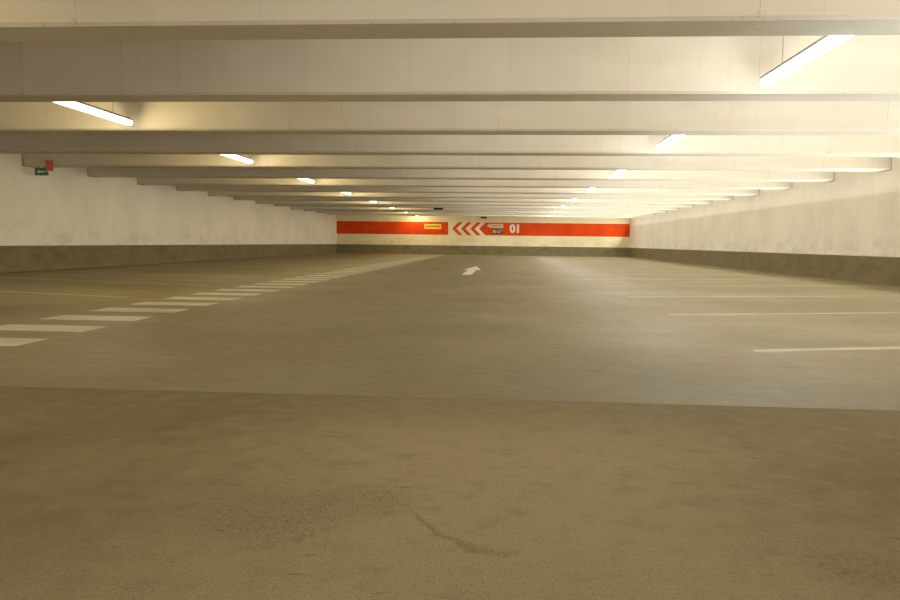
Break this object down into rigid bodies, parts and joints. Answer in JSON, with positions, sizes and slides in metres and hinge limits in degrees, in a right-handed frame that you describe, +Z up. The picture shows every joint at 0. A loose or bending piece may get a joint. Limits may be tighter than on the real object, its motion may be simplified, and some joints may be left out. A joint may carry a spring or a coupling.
{
  "type": "parking deck of a multi storey car park, one storey",
  "caption": "One storey of a concrete car park: floor, side walls, end wall, wide beams and the deck over them, with strip lights, signs and floor markings.",
  "frame": {"origin": "middle of the underside of the floor slab", "axes": "X across the aisle, +Y along the aisle from the open end to the end wall, +Z up"},
  "size_m": [16.65, 39.815, 3],
  "materials": {
    "painted_concrete": "matt masonry paint on cast concrete",
    "wall_paint": "matt masonry paint on cast concrete",
    "rough_concrete": "worn bare concrete",
    "coated_floor": "worn floor coating with a low sheen",
    "floor_marking": "worn thermoplastic marking",
    "light_tray": "satin grey coating",
    "light_cover": "opal diffuser",
    "rod": "zinc plated",
    "exit_green": "satin",
    "sign_red": "satin",
    "dark_housing": "satin",
    "bearing_rubber": "matt"
  },
  "bodies": {
    "root": {"approach_slab": "rough_concrete", "floor_slab": "coated_floor", "floor_joint_seal": "bearing_rubber", "left_wall": "wall_paint", "right_wall": "wall_paint", "end_wall": "wall_paint", "bearing_pads": "bearing_rubber", "beam_01": "painted_concrete", "beam_02": "painted_concrete", "beam_03": "painted_concrete", "beam_04": "painted_concrete", "beam_05": "painted_concrete", "beam_06": "painted_concrete", "beam_07": "painted_concrete", "beam_08": "painted_concrete", "beam_09": "painted_concrete", "beam_10": "painted_concrete", "beam_11": "painted_concrete", "beam_12": "painted_concrete", "beam_13": "painted_concrete", "beam_14": "painted_concrete", "beam_15": "painted_concrete", "beam_16": "painted_concrete", "beam_17": "painted_concrete", "deck_planks": "painted_concrete", "deck_topping": "coated_floor", "light_trays_left": "light_tray", "light_trays_right": "light_tray", "light_covers_left": "light_cover", "light_covers_right": "light_cover", "light_rods_left": "rod", "light_rods_right": "rod", "bay_lines_left": "floor_marking", "bay_lines_right": "floor_marking", "walkway_ladder": "floor_marking", "lane_arrow": "floor_marking", "upper_bay_lines_left": "floor_marking", "upper_bay_lines_right": "floor_marking", "upper_walkway_ladder": "floor_marking", "upper_lane_arrow": "floor_marking", "exit_sign": "exit_green", "extinguisher_sign": "sign_red", "ceiling_box": "dark_housing", "wall_box": "dark_housing"}
  },
  "joints": []
}
